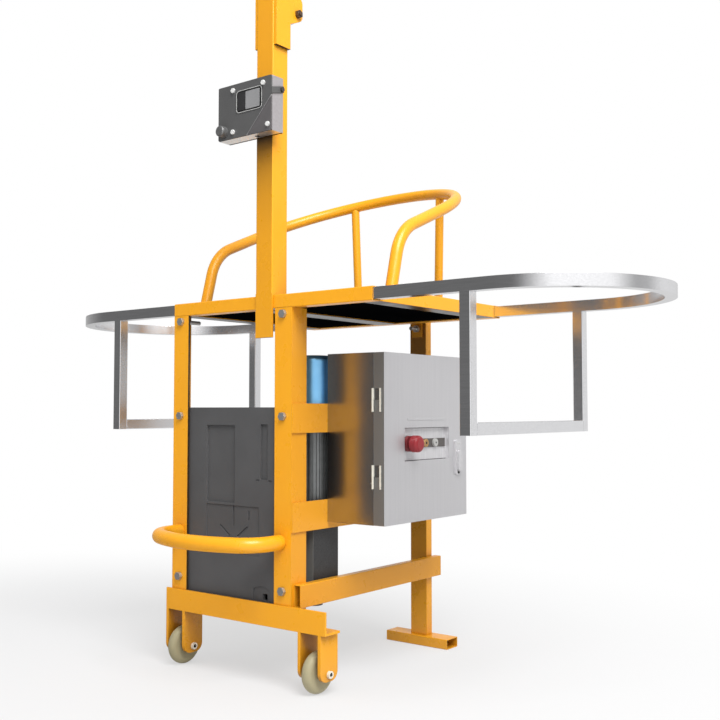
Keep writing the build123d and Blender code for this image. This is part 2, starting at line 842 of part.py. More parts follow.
# Control box on the side bars: sheet shell with cable glands, and the gear on its mounting plate
def box_body():
    shell = block(box_back_x, seam_x, box_front, box_rear, box_bottom, box_top)
    shell -= block(box_back_x + sheet, seam_x, box_front + sheet, box_rear - sheet,
                   box_bottom + sheet, box_top - sheet)
    gland_x = (box_back_x + seam_x) / 2
    gland_y0 = box_rear - gland_tail
    gland_y1 = box_rear + gland_length
    glands = []
    for step in (-1, 0, 1):
        z = box_bottom + box_height / 2 + step * gland_pitch
        shell -= rod_y(gland_x, box_rear - sheet, box_rear, z, gland_thread_radius + run_gap)
        gland = Pos(gland_x, box_rear, z) * Rot(-90, 0, 0) * hexagon(gland_flats, gland_nut_height)
        gland += rod_y(gland_x, gland_y0, gland_y1, z, gland_thread_radius)
        glands.append(gland - rod_y(gland_x, gland_y0, gland_y1, z, gland_bore_radius))

    inner_back = box_back_x + sheet
    plate_x = inner_back + plate_stand
    plate_face = plate_x + sheet
    margin = sheet + plate_inset
    plate_y0 = box_front + margin
    plate_y1 = box_rear - margin
    plate_z0 = box_bottom + margin
    plate_z1 = box_top - margin
    plate = block(plate_x, plate_face, plate_y0, plate_y1, plate_z0, plate_z1)
    for y in (plate_y0 + plate_inset, plate_y1 - plate_inset):
        for z in (plate_z0 + plate_inset, plate_z1 - plate_inset):
            plate += rod_x(inner_back, plate_x, y, z, plate_boss_radius)

    contactors = []
    contactor_z = plate_z1 - plate_inset - contactor_height / 2
    nose_face = plate_face + contactor_depth + contactor_nose_depth
    for step in (-1, 0, 1):
        y0 = (plate_y0 + plate_y1) / 2 + step * contactor_pitch - contactor_width / 2
        y1 = y0 + contactor_width
        body = block(plate_face, plate_face + contactor_depth, y0, y1, contactor_z - contactor_height / 2,
                     contactor_z + contactor_height / 2)
        nose = block(plate_face, nose_face, y0, y1, contactor_z - contactor_nose_height / 2,
                     contactor_z + contactor_nose_height / 2)
        contactors.append(body + nose)
    terminal_z = plate_z0 + plate_inset
    terminals = block(plate_face, plate_face + terminal_depth, plate_y0 + plate_inset,
                      plate_y1 - plate_inset, terminal_z, terminal_z + terminal_height)
    return {
        "box_shell": shell,
        "cable_glands": glands,
        "mounting_plate": plate,
        "contactors": contactors,
        "terminal_strip": terminals,
    }


# Door hinges: the lower knuckle and its pin are on the box, the upper knuckle and a bar on the door
def door_hinges():
    hinge_x = seam_x - hinge_set_back
    hinge_y = box_front - hinge_radius - side_gap
    leaf_y = box_front - hinge_leaf_thick
    bar_x1 = hinge_x + hinge_leaf_width
    bar_x0 = bar_x1 - hinge_bar_width
    posts = []
    leaves = []
    for middle in (hinge_low_middle, hinge_high_middle):
        low = middle - hinge_height / 2
        high = middle + hinge_height / 2
        post_top = middle - side_gap / 2
        leaf_foot = middle + side_gap / 2
        post = rod_z(hinge_x, hinge_y, low, post_top, hinge_radius)
        post += block(hinge_x - hinge_leaf_width, hinge_x, leaf_y, box_front, low, post_top)
        post += block(hinge_x - hinge_radius, hinge_x, hinge_y, box_front, low, post_top)
        post += rod_z(hinge_x, hinge_y, low, high - sheet, hinge_pin_radius)
        posts.append(post)
        leaf = rod_z(hinge_x, hinge_y, leaf_foot, high, hinge_radius)
        leaf += block(hinge_x, bar_x0, leaf_y, box_front, leaf_foot, high)
        leaf += block(hinge_x, hinge_x + hinge_radius, hinge_y, box_front, leaf_foot, high)
        leaf += block(bar_x0, bar_x1, box_front - hinge_bar_thick, box_front, low, high)
        leaves.append(leaf - rod_z(hinge_x, hinge_y, leaf_foot, high - sheet + side_gap,
                                   hinge_pin_radius + run_gap))
    return {"box_hinge_posts": posts, "door_hinge_leaves": leaves}


# Door pan with a window, the sunk switch panel behind it, its buttons, and the latch
def box_door():
    door_back = seam_x + door_gap
    skin = box_face_x - sheet
    win_y0 = box_front + window_margin
    win_y1 = box_rear - window_margin
    win_z0 = box_bottom + window_bottom
    win_z1 = win_z0 + window_height
    latch_y = box_rear - latch_inset
    latch_z = box_bottom + latch_middle
    door = block(door_back, box_face_x, box_front, box_rear, box_bottom, box_top)
    door = fillet(door.edges().filter_by(Axis.X), sheet)
    door -= block(door_back, skin, box_front + sheet, box_rear - sheet, box_bottom + sheet, box_top - sheet)
    door -= block(skin, box_face_x, win_y0, win_y1, win_z0, win_z1)
    door -= rod_x(skin, box_face_x, latch_y, latch_z, latch_shaft_radius + run_gap)
    bead_y = box_front + bead_front
    bead_z = box_bottom + bead_middle
    door += block(skin, box_face_x + bead_stand, bead_y, bead_y + bead_length,
                  bead_z - bead_height / 2, bead_z + bead_height / 2)

    panel_face = skin - window_recess
    panel_back = panel_face - sheet
    panel = block(panel_back, skin, win_y0 - window_flange, win_y1 + window_flange,
                  win_z0 - window_flange, win_z1 + window_flange)
    panel -= block(panel_face, skin, win_y0, win_y1, win_z0, win_z1)
    seam_y = win_y1 - panel_seam_inset
    panel -= block(panel_face - panel_seam, panel_face, seam_y, seam_y + panel_seam, win_z0, win_z1)

    # a dark strip carries the collar of the stop button and the two small buttons
    line_z = box_bottom + button_line
    strip_face = panel_face + strip_thick
    strip = block(panel_face, strip_face, win_y0 + side_gap, win_y1 - strip_end_gap,
                  line_z - strip_height / 2, line_z + strip_height / 2)
    estop_y = box_front + estop_place
    collar_face = strip_face + estop_collar_height
    strip += rod_x(panel_face, collar_face, estop_y, line_z, estop_collar_radius)
    stem_hole = rod_x(panel_back, collar_face, estop_y, line_z, estop_stem_radius + run_gap)
    strip -= stem_hole
    panel -= stem_hole
    head_back = collar_face + estop_travel + side_gap
    head = rod_x(head_back, head_back + estop_head_height, estop_y, line_z, estop_head_radius)
    head = fillet(head.edges().group_by(Axis.X)[-1], estop_head_round)
    head += rod_x(panel_back, head_back, estop_y, line_z, estop_stem_radius)

    buttons = []
    button_face = strip_face + button_travel + button_rest
    for place in (start_button_place, test_button_place):
        y = box_front + place
        hole = rod_x(panel_back, strip_face, y, line_z, button_radius + run_gap)
        panel -= hole
        strip -= hole
        button = rod_x(panel_back, button_face, y, line_z, button_radius)
        buttons.append(fillet(button.edges().group_by(Axis.X)[-1], button_edge))

    # swing handle on its base plate, with the shaft and cam behind the door skin
    base_face = box_face_x + latch_base_thick
    base = block(box_face_x, base_face, latch_y - latch_width / 2, latch_y + latch_width / 2,
                 latch_z - latch_height / 2, latch_z + latch_height / 2)
    base = fillet(base.edges().filter_by(Axis.X), latch_corner)
    base -= rod_x(box_face_x, base_face, latch_y, latch_z, latch_shaft_radius + run_gap)
    grip_back = base_face + side_gap
    handle = block(grip_back, grip_back + latch_grip_thick, latch_y - latch_grip_width / 2,
                   latch_y + latch_grip_width / 2, latch_z - latch_grip_below, latch_z + latch_grip_above)
    handle = fillet(handle.edges().filter_by(Axis.X), latch_grip_corner)
    cam_face = skin - side_gap
    cam_back = cam_face - latch_cam_thick
    handle += rod_x(cam_back, grip_back, latch_y, latch_z, latch_shaft_radius)
    handle += block(cam_back, cam_face, latch_y - latch_cam_width / 2, latch_y + latch_cam_reach,
                    latch_z - latch_cam_width / 2, latch_z + latch_cam_width / 2)
    return {
        "box_door": door,
        "switch_panel": panel,
        "switch_strip": strip,
        "estop_head": head,
        "start_button": buttons[0],
        "test_button": buttons[1],
        "latch_base": base,
        "latch_handle": handle,
    }


# Rope hoist: front cover and case round the traction sheave, worm gear behind, motor on top
def hoist_shells():
    cover = block(hoist_left, hoist_right, hoist_front, case_front, base_top, hoist_top)
    inner_face = hoist_front + cover_wall + relief_depth
    cover -= block(hoist_left + cover_wall, hoist_right - cover_wall, inner_face, case_front,
                   base_top + cover_wall, hoist_top - cover_wall)
    for pocket in relief_pockets():
        cover -= pocket

    case = block(hoist_left, hoist_right, case_front, case_back, base_top, hoist_top)
    case -= block(hoist_left + case_wall, hoist_right - case_wall, case_front, case_back - case_wall,
                  base_top + case_wall, hoist_top - case_wall)
    lug_y0 = angle_thick
    lug_y1 = angle_thick + lug_block_depth
    for bolt_x, edge, side in ((left_bolt_x, hoist_left, -1), (right_bolt_x, hoist_right, 1)):
        tip = bolt_x + side * lug_block_reach
        near = edge + side * side_gap
        for z in (case_bolt_high, case_bolt_low):
            bottom = z - lug_block_height / 2
            top = min(z + lug_block_height / 2, hoist_top)
            lug = block(min(tip, near), max(tip, near), lug_y0, lug_y1, bottom, top)
            lug += block(min(tip, edge), max(tip, edge), case_front, lug_y1, bottom, top)
            case += lug - rod_y(bolt_x, lug_y0, lug_y1, z, bolt_diameter / 2 + bolt_gap)
    case -= rod_z(sheave_x + sheave_radius, rope_y, hoist_top - case_wall, hoist_top, rope_hole)
    case -= rod_z(sheave_x - sheave_radius, rope_y, base_top, base_top + case_wall, rope_hole)
    case -= rod_y(sheave_x, case_back - case_wall, case_back, sheave_z, shaft_seat)

    gear_left = sheave_x - wheel_tip_radius - gear_wall - mesh_gap
    gear = block(gear_left, gear_right, case_back, gear_back, gear_bottom, gear_top)
    gear = fillet(gear.edges().filter_by(Axis.Y), gear_wall)
    gear += rod_z(motor_x, motor_y, gear_bottom - worm_cap_height, gear_bottom, worm_cap_radius)
    gear -= block(gear_left + gear_wall, gear_right - gear_wall, case_back + gear_wall,
                  gear_back - gear_wall, gear_bottom + gear_wall, gear_top - gear_wall)
    gear -= rod_y(sheave_x, case_back, case_back + gear_wall, sheave_z, shaft_seat)
    gear -= rod_y(sheave_x, gear_back - gear_wall, rear_seat_end, sheave_z, shaft_seat)
    gear -= rod_z(motor_x, motor_y, worm_seat_end, gear_bottom + gear_wall, rotor_seat)
    gear -= rod_z(motor_x, motor_y, gear_top - gear_wall, gear_top, rotor_seat)

    housing = rod_z(motor_x, motor_y, gear_top, motor_top, motor_core_radius)
    fins = []
    for step in range(motor_fin_count):
        turn = Rot(0, 0, 360 * step / motor_fin_count)
        fin = Box(motor_core_radius + motor_fin_reach, motor_fin_thick, motor_height - 2 * motor_fin_margin,
                  align=(Align.MIN, Align.CENTER, Align.CENTER))
        fins.append(Pos(motor_x, motor_y, (gear_top + motor_top) / 2) * turn * fin)
    housing = housing + fins
    housing += rod_z(motor_x, motor_y, motor_top - motor_end_wall, motor_top, motor_cover_radius)
    housing -= rod_z(motor_x, motor_y, gear_top, motor_top - motor_end_wall, motor_bore_radius)
    housing -= rod_z(motor_x, motor_y, motor_top - motor_end_wall, motor_top, rotor_seat)

    cap_top = motor_top + motor_cover_height
    cap = rod_z(motor_x, motor_y, motor_top, cap_top, motor_cover_radius)
    cap = fillet(cap.edges().group_by(Axis.Z)[-1], motor_cover_corner)
    inner_radius = motor_cover_radius - motor_cover_wall
    hollow = rod_z(motor_x, motor_y, motor_top, cap_top - motor_cover_wall, inner_radius)
    hollow = fillet(hollow.edges().group_by(Axis.Z)[-1], motor_cover_corner - motor_cover_wall)
    return {
        "hoist_cover": cover,
        "hoist_case": case,
        "gear_case": gear,
        "motor_housing": housing,
        "motor_cover": cap - hollow,
    }


# What turns in the hoist: sheave and worm wheel on the main shaft, worm and core on the rotor
def hoist_drive():
    shaft_radius = main_shaft_diameter / 2
    sheave_y0 = rope_y - sheave_width / 2
    sheave_y1 = rope_y + sheave_width / 2
    sheave = rod_y(sheave_x, sheave_y0, sheave_y1, sheave_z, sheave_radius)
    sheave -= Pos(sheave_x, rope_y, sheave_z) * Rot(90, 0, 0) * Torus(sheave_radius, rope_groove)
    sheave -= rod_y(sheave_x, sheave_y0, sheave_y1, sheave_z, shaft_radius)

    face_y0 = motor_y - gear_face / 2
    worm_wheel = rod_y(sheave_x, face_y0, face_y0 + gear_face, sheave_z, wheel_tip_radius)
    tooth_gap = math.pi * wheel_tip_radius / wheel_teeth
    notch = Pos(wheel_tip_radius, 0, 0) * Box(2 * tooth_depth, 2 * gear_face, tooth_gap)
    notches = []
    for tooth in range(wheel_teeth):
        turn = Rot(0, 360 * tooth / wheel_teeth, 0)
        notches.append(Pos(sheave_x, motor_y, sheave_z) * turn * notch)
    worm_wheel = worm_wheel - notches
    worm_wheel += rod_y(sheave_x, sheave_y0, rear_seat_end - side_gap, sheave_z, shaft_radius)

    rotor_shaft = rotor_shaft_diameter / 2
    core_z = (gear_top + motor_top) / 2
    rotor = rod_z(motor_x, motor_y, worm_seat_end + side_gap, motor_top + rotor_tail, rotor_shaft)
    rotor += rod_z(motor_x, motor_y, sheave_z - worm_length / 2, sheave_z + worm_length / 2, worm_tip_radius)
    rotor += rod_z(motor_x, motor_y, core_z - rotor_length / 2, core_z + rotor_length / 2, rotor_radius)

    bearings = []
    for y0, y1 in ((case_back - case_wall, case_back + gear_wall), (gear_back - gear_wall, rear_seat_end)):
        ring = rod_y(sheave_x, y0, y1, sheave_z, shaft_seat)
        bearings.append(ring - rod_y(sheave_x, y0, y1, sheave_z, shaft_radius + run_gap))
    for z0, z1 in ((worm_seat_end, gear_bottom + gear_wall), (gear_top - gear_wall, gear_top),
                   (motor_top - motor_end_wall, motor_top)):
        ring = rod_z(motor_x, motor_y, z0, z1, rotor_seat)
        bearings.append(ring - rod_z(motor_x, motor_y, z0, z1, rotor_shaft + run_gap))
    return {
        "traction_sheave": sheave,
        "worm_wheel": worm_wheel,
        "motor_rotor": rotor,
        "hoist_bearings": bearings,
    }


# Hollows moulded into the hoist's front cover
def relief_pockets():
    face = hoist_front
    floor = face + groove_depth

    def sink(x0, x1, z0, z1, depth):
        pocket = block(x0, x1, face, face + depth, z0, z1)
        return fillet(pocket.edges().filter_by(Axis.Y), relief_corner)

    def groove(x, z0, z1):
        return block(x - groove_width / 2, x + groove_width / 2, face, floor + groove_depth, z0, z1)

    left = hoist_left + panel_left
    panel_z = hoist_top - panel_drop
    pockets = [sink(left, left + panel_width, panel_z - panel_height, panel_z, relief_depth)]

    # a narrow slot with a dash on each side of its foot
    slot_x1 = hoist_right - slot_right
    slot_x0 = slot_x1 - slot_width
    slot_z1 = hoist_top - slot_drop
    slot_z0 = slot_z1 - slot_height
    pockets.append(sink(slot_x0, slot_x1, slot_z0, slot_z1, relief_depth))
    for x0 in (slot_x0 - dash_gap - dash_length, slot_x1 + dash_gap):
        pockets.append(block(x0, x0 + dash_length, face, floor, slot_z0 - dash_height, slot_z0))

    # a shallow skirt below, with a groove, a slit and two slanted strokes in its floor
    skirt_z = hoist_top - skirt_drop
    pockets.append(sink(left, left + skirt_width, skirt_z - skirt_height, skirt_z, groove_depth))
    middle = left + mark_place
    mark_z = skirt_z - mark_drop
    pockets.append(groove(middle, mark_z, skirt_z))
    slit_z1 = skirt_z - slit_drop
    pockets.append(groove(left + skirt_width - slit_right, slit_z1 - slit_height, slit_z1))
    for side in (-1, 1):
        tip = (middle + side * mark_open, mark_z - mark_height)
        end = (middle + side * mark_width / 2, mark_z)
        turn = math.degrees(math.atan2(end[1] - tip[1], end[0] - tip[0]))
        stroke = Box(math.dist(tip, end), 2 * groove_depth, groove_width,
                     align=(Align.MIN, Align.MIN, Align.CENTER))
        pockets.append(Pos(tip[0], face, tip[1]) * Rot(0, -turn, 0) * stroke)

    # an arched hollow low on the right, with a square port in it
    arch_x1 = hoist_right - arch_right
    arch_x0 = arch_x1 - arch_width
    arch_z = hoist_top - arch_drop
    spring_z = arch_z - arch_rise
    arch_radius = (arch_width ** 2 / 4 + arch_rise ** 2) / (2 * arch_rise)
    crown = rod_y((arch_x0 + arch_x1) / 2, face, floor, arch_z - arch_radius, arch_radius)
    pockets.append(crown & block(arch_x0, arch_x1, face, floor, spring_z, arch_z))
    pockets.append(block(arch_x0, arch_x1, face, floor, base_top, spring_z))
    port_x = hoist_right - port_right
    port_z = hoist_top - port_drop
    pockets.append(block(port_x - port_size, port_x, face, case_front, port_z - port_size, port_z))
    return pockets


def as_shape(item):
    if isinstance(item, list):
        return Compound([solid for piece in item for solid in piece.solids()])
    return item


def main():
    nodes = {}
    for section in (seat_frame, mast_and_head, stand, forks_and_wheels, axle_bolts, footrest, backrest,
                    carriers, safety_lock, box_body, door_hinges, box_door, hoist_shells, hoist_drive):
        nodes.update(section())
    os.makedirs("parts", exist_ok=True)
    for name, item in nodes.items():
        export_step(Pos(0, -origin_y, 0) * as_shape(item), "parts/" + name + ".step")


main()
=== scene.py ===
import json
import math

import bmesh
import bpy
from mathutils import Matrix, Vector


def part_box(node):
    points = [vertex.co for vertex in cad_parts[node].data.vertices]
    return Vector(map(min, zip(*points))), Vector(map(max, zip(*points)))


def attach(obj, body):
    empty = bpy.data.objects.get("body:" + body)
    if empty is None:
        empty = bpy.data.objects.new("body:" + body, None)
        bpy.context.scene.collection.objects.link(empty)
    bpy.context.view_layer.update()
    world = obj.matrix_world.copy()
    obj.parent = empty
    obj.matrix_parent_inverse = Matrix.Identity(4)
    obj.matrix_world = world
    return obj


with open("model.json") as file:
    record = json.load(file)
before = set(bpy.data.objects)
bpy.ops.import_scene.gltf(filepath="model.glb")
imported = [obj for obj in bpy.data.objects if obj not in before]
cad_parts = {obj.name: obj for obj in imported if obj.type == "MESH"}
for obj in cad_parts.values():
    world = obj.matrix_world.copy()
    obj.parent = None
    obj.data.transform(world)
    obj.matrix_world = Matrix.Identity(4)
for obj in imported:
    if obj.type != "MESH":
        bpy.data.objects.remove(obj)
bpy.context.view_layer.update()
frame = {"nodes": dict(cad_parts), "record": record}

# Camera, in metres and degrees in the part's frame
camera_place = (1.5132, -1.8222, 0.6054)
camera_turn = 37.72
camera_pitch = 2.87
camera_lens = 49.24
camera_sensor = 36.0

# Light: a dome that is brighter overhead, and one large soft lamp from the upper right
dome_side = 0.38
dome_top = 0.82
key_place = (2.6, -1.55, 4.0)
key_aim = (0.0, 0.0, 0.75)
key_size = 2.6
key_power = 215.0

# Floor: its size, how white the camera sees it near the part, and where it fades to white round a middle
floor_size = 60.0
floor_lift = 0.52
floor_middle = (-0.45, -0.4, 0.0)
floor_fade_start = 0.7
floor_fade_end = 2.1

# What polished metal sees around it: degrees from the front towards the right, and brightness
studio_round = (
    (-180, 0.7), (-142, 0.8), (-100, 0.4), (-60, 0.15), (1, 0.15), (29, 1.15),
    (84, 1.1), (108, 0.42), (124, 0.5), (142, 0.84), (180, 0.75),
)

# Painted shadow on a front face: height in metres, and darkness from 0 to 1
# The mast's heights count from the underside of the lock, and the leg's from the floor
mast_shadow_by_height = (
    (-0.36, 0.1), (-0.22, 0.13), (-0.13, 0.28), (-0.07, 0.46),
    (-0.03, 0.66), (0.0, 1.0), (0.001, 0.1), (0.4, 0.1),
)
leg_shadow_by_height = ((0.03, 0.0), (0.3, 0.55), (0.9, 0.6))

# A limit this far inside a face takes in that face alone
hair = 0.0004

# Noise levels that count as its lowest and its highest
noise_low = 0.3
noise_high = 0.7

# Samples for each look into a corner and round an edge
corner_samples = 8
edge_samples = 6

# Grain of metal, as a scale along each axis: low along its lines and high across them
tube_grain = (20, 300, 300)
sheet_grain = (160, 160, 5)
lock_grain = (40, 160, 160)
turned_grain = (300, 300, 300)

along_x = (1, 0, 0)
along_y = (0, 1, 0)
along_z = (0, 0, 1)


def srgb(red, green, blue):
    """Linear colour of an sRGB colour given as 0 to 255."""
    def linear(value):
        value /= 255
        return value / 12.92 if value <= 0.04045 else ((value + 0.055) / 1.055) ** 2.4
    return (linear(red), linear(green), linear(blue), 1.0)


def grey(level):
    """Linear colour of an sRGB grey given as 0 to 255."""
    return srgb(level, level, level)


white = grey(255)
yellow = srgb(254, 177, 29)
deep_yellow = srgb(251, 172, 27)
# Painted shade: a darker yellow for outer faces that lie in shade
shaded_yellow = srgb(232, 158, 26)
# Painted shade, lighter, for the corners and open ends of some tubes
light_corner_shade = srgb(208, 148, 34)
# Painted shade in corners and gaps
corner_shade = srgb(158, 104, 24)
# Painted shadow brown for shaded undersides, edges, gaps and front faces
shadow_brown = srgb(58, 42, 22)
cream = srgb(232, 228, 214)


def empty_tree(owner):
    """The node tree of a material or world, without the nodes that it starts with."""
    owner.use_nodes = True
    owner.node_tree.nodes.clear()
    return owner.node_tree


def join(tree, value, socket):
    """Links a node's output to a socket, or sets the socket to a plain value."""
    if isinstance(value, bpy.types.NodeSocket):
        tree.links.new(value, socket)
    else:
        socket.default_value = value


def math_node(tree, operation, first, second):
    """Result of a sum with two values."""
    node = tree.nodes.new("ShaderNodeMath")
    node.operation = operation
    join(tree, first, node.inputs[0])
    join(tree, second, node.inputs[1])
    return node.outputs[0]


def vector_node(tree, operation, first, second):
    """Result of a sum that makes a value from two vectors."""
    node = tree.nodes.new("ShaderNodeVectorMath")
    node.operation = operation
    join(tree, first, node.inputs[0])
    join(tree, second, node.inputs[1])
    return node.outputs["Value"]


def split(tree, vector):
    """The X, Y and Z of a vector."""
    node = tree.nodes.new("ShaderNodeSeparateXYZ")
    tree.links.new(vector, node.inputs[0])
    return node.outputs


def spread(tree, value, low, high, to_low=0.0, to_high=1.0, style="LINEAR"):
    """A value moved from one range to another, and held at its ends."""
    node = tree.nodes.new("ShaderNodeMapRange")
    node.interpolation_type = style
    node.inputs["From Min"].default_value = low
    node.inputs["From Max"].default_value = high
    node.inputs["To Min"].default_value = to_low
    node.inputs["To Max"].default_value = to_high
    tree.links.new(value, node.inputs["Value"])
    return node.outputs["Result"]


def levels(tree, value, stops):
    """A grey that runs straight from stop to stop, each given as a value and its level."""
    first = stops[0][0]
    last = stops[-1][0]
    node = tree.nodes.new("ShaderNodeValToRGB")
    elements = node.color_ramp.elements
    elements.remove(elements[0])
    for index, (place, level) in enumerate(stops):
        share = (place - first) / (last - first)
        stop = elements[0] if index == 0 else elements.new(share)
        stop.position = share
        stop.color = (level, level, level, 1.0)
    tree.links.new(spread(tree, value, first, last), node.inputs["Fac"])
    return node.outputs["Color"]


def mix_colours(tree, share, first, second):
    """The first colour where the share is 0, and the second where it is 1."""
    node = tree.nodes.new("ShaderNodeMix")
    node.data_type = "RGBA"
    tree.links.new(share, node.inputs["Factor"])
    sockets = [socket for socket in node.inputs if socket.type == "RGBA"]
    join(tree, first, sockets[0])
    join(tree, second, sockets[1])
    return [socket for socket in node.outputs if socket.type == "RGBA"][0]


def mix_shaders(tree, share, first, second):
    """The first shader where the share is 0, and the second where it is 1."""
    node = tree.nodes.new("ShaderNodeMixShader")
    tree.links.new(share, node.inputs["Fac"])
    tree.links.new(first, node.inputs[1])
    tree.links.new(second, node.inputs[2])
    return node.outputs["Shader"]


class Graph:
    """A material's node tree, with short calls for the nodes used here."""

    shader_inputs = {
        "colour": "Base Color",
        "metallic": "Metallic",
        "rough": "Roughness",
        "normal": "Normal",
        "specular": "Specular IOR Level",
    }

    def __init__(self, name):
        self.material = bpy.data.materials.new(name)
        self.tree = empty_tree(self.material)
        output = self.tree.nodes.new("ShaderNodeOutputMaterial")
        self.shader = self.tree.nodes.new("ShaderNodeBsdfPrincipled")
        self.tree.links.new(self.shader.outputs["BSDF"], output.inputs["Surface"])
        self.place = self.tree.nodes.new("ShaderNodeTexCoord").outputs["Object"]

    def add(self, kind, **inputs):
        """A new node with its inputs set or linked by name."""
        node = self.tree.nodes.new("ShaderNode" + kind)
        for name, value in inputs.items():
            join(self.tree, value, node.inputs[name])
        return node

    def noise(self, scale, detail, vector=None):
        """Cloudy noise, which is finer with a larger scale."""
        node = self.add("TexNoise", Scale=scale, Detail=detail, Vector=vector or self.place)
        return node.outputs["Fac"]

    def lines(self, grain):
        """Noise drawn out into lines by a scale along each axis."""
        stretched = self.add("Mapping", Scale=grain, Vector=self.place)
        return self.noise(1.0, 1.0, stretched.outputs["Vector"])

    def ramp(self, value, low, high, to_low=0.0, to_high=1.0):
        return spread(self.tree, value, low, high, to_low, to_high)

    def evened(self, noise, to_low=0.0, to_high=1.0):
        """Noise spread over a range."""
        return self.ramp(noise, noise_low, noise_high, to_low, to_high)

    def mottle(self, scale, detail, to_low=0.0, to_high=1.0):
        """Cloudy blotches that cover a range."""
        return self.evened(self.noise(scale, detail), to_low, to_high)

    def along(self, axis):
        return split(self.tree, self.place)[axis]

    def below(self, axis, limit):
        """1 where the surface lies below a limit along X, Y or Z, and 0 elsewhere."""
        return math_node(self.tree, "LESS_THAN", self.along(axis), limit)

    def above(self, axis, limit):
        """1 where the surface lies above a limit along X, Y or Z, and 0 elsewhere."""
        return math_node(self.tree, "GREATER_THAN", self.along(axis), limit)

    def beyond(self, slope, point):
        """1 past the plane through a point, on the side that its normal shows, and 0 before it."""
        reach = vector_node(self.tree, "DOT_PRODUCT", self.place, slope)
        return math_node(self.tree, "GREATER_THAN", reach, Vector(slope).dot(Vector(point)))

    def blend(self, share, first, second):
        return mix_colours(self.tree, share, first, second)

    def open_air(self, reach):
        """1 on open surfaces, and less in corners and gaps that are narrower than the reach."""
        node = self.add("AmbientOcclusion", Distance=reach)
        node.samples = corner_samples
        return node.outputs["AO"]

    def eased(self, radius):
        """A normal that rounds sharp edges over the given radius."""
        node = self.add("Bevel", Radius=radius)
        node.samples = edge_samples
        return node.outputs["Normal"]

    def bump(self, height, depth, strength, over):
        """A normal with a fine relief over another normal."""
        node = self.add("Bump", Strength=strength, Distance=depth, Height=height, Normal=over)
        return node.outputs["Normal"]

    def surface(self, **values):
        """The finished material, with its shader's inputs set or linked."""
        for name, value in values.items():
            join(self.tree, value, self.shader.inputs[self.shader_inputs[name]])
        return self.material


def paint(name, foot=None, side=None, front_shadow=None, corners=corner_shade):
    """Sprayed yellow paint, wavy, with painted shade in its corners and a painted shadow below the height
    of a foot.

    side is a place along X and the painted shade colour past it. The front shadow is a place along Y,
    and the stops of its painted shadow by height on the face before it.
    """
    look = Graph(name)
    colour = look.blend(look.mottle(5.0, 4.0), deep_yellow, yellow)
    # Painted shade: darker where corners and gaps block the light
    colour = look.blend(look.ramp(look.open_air(0.3), 0.08, 0.72), corners, colour)
    if foot:
        # Painted shadow on the faces below the foot
        colour = look.blend(look.below("Z", foot), colour, shadow_brown)
    if side:
        face, side_colour = side
        # Painted shade on the face past the side
        colour = look.blend(look.above("X", face), colour, side_colour)
    if front_shadow:
        face, stops = front_shadow
        # Painted shadow on the front face, darker by height as the stops give
        dark = look.blend(levels(look.tree, look.along("Z"), stops), colour, shadow_brown)
        colour = look.blend(look.below("Y", face), colour, dark)
    rough = look.mottle(30.0, 5.0, 0.25, 0.36)
    normal = look.bump(look.noise(260.0, 2.0), depth=0.00003, strength=0.25, over=look.eased(0.0013))
    return look.surface(colour=colour, rough=rough, specular=0.5, normal=normal)


def lined(look, lines, colour, rough, gloss):
    """Finishes a look as metal with fine lines."""
    roughness = look.mottle(8.0, 3.0, rough - 0.03, rough + 0.04)
    normal = look.bump(lines, depth=0.00001, strength=0.025, over=look.eased(0.0008))
    return look.surface(colour=colour, metallic=gloss, rough=roughness, normal=normal)


def metal(name, colour, shade, rough, grain, gloss=1.0, front=None):
    """Metal in two near colours along its grain.

    front is a place along Y and the darker colour painted on the face before it as painted shade.
    """
    look = Graph(name)
    lines = look.lines(grain)
    colour = look.blend(look.evened(lines), shade, colour)
    if front:
        face, front_shade = front
        colour = look.blend(look.below("Y", face), colour, front_shade)
    return lined(look, lines, colour, rough, gloss)


def pebbled(look, colour, rough, specular=0.4, grain=900.0, depth=0.00004):
    """Finishes a look as moulded plastic or matt coating with a fine pebbled skin."""
    roughness = look.mottle(50.0, 4.0, rough - 0.05, rough + 0.06)
    normal = look.bump(look.noise(grain, 2.0), depth, strength=0.4, over=look.eased(0.001))
    return look.surface(colour=colour, rough=roughness, specular=specular, normal=normal)


def moulded(name, colour, shade, rough, **skin):
    """Moulded plastic or matt coating in two near colours."""
    look = Graph(name)
    return pebbled(look, look.blend(look.mottle(14.0, 4.0), shade, colour), rough, **skin)


def two_tone(name, axis, limit, lower, upper, rough, gloss=0.0):
    """One colour below a limit along an axis and another above it, with a fine grain in both.

    gloss is how metallic the upper colour is.
    """
    look = Graph(name)
    low_side = look.below(axis, limit)
    colour = look.blend(low_side, upper, lower)
    colour = look.blend(look.mottle(420.0, 3.0, 0.0, 0.12), colour, grey(128))
    metallic = look.ramp(low_side, 0.0, 1.0, gloss, 0.0) if gloss else 0.0
    roughness = look.mottle(40.0, 3.0, rough - 0.04, rough + 0.05)
    return look.surface(colour=colour, metallic=metallic, rough=roughness, normal=look.eased(0.0006))


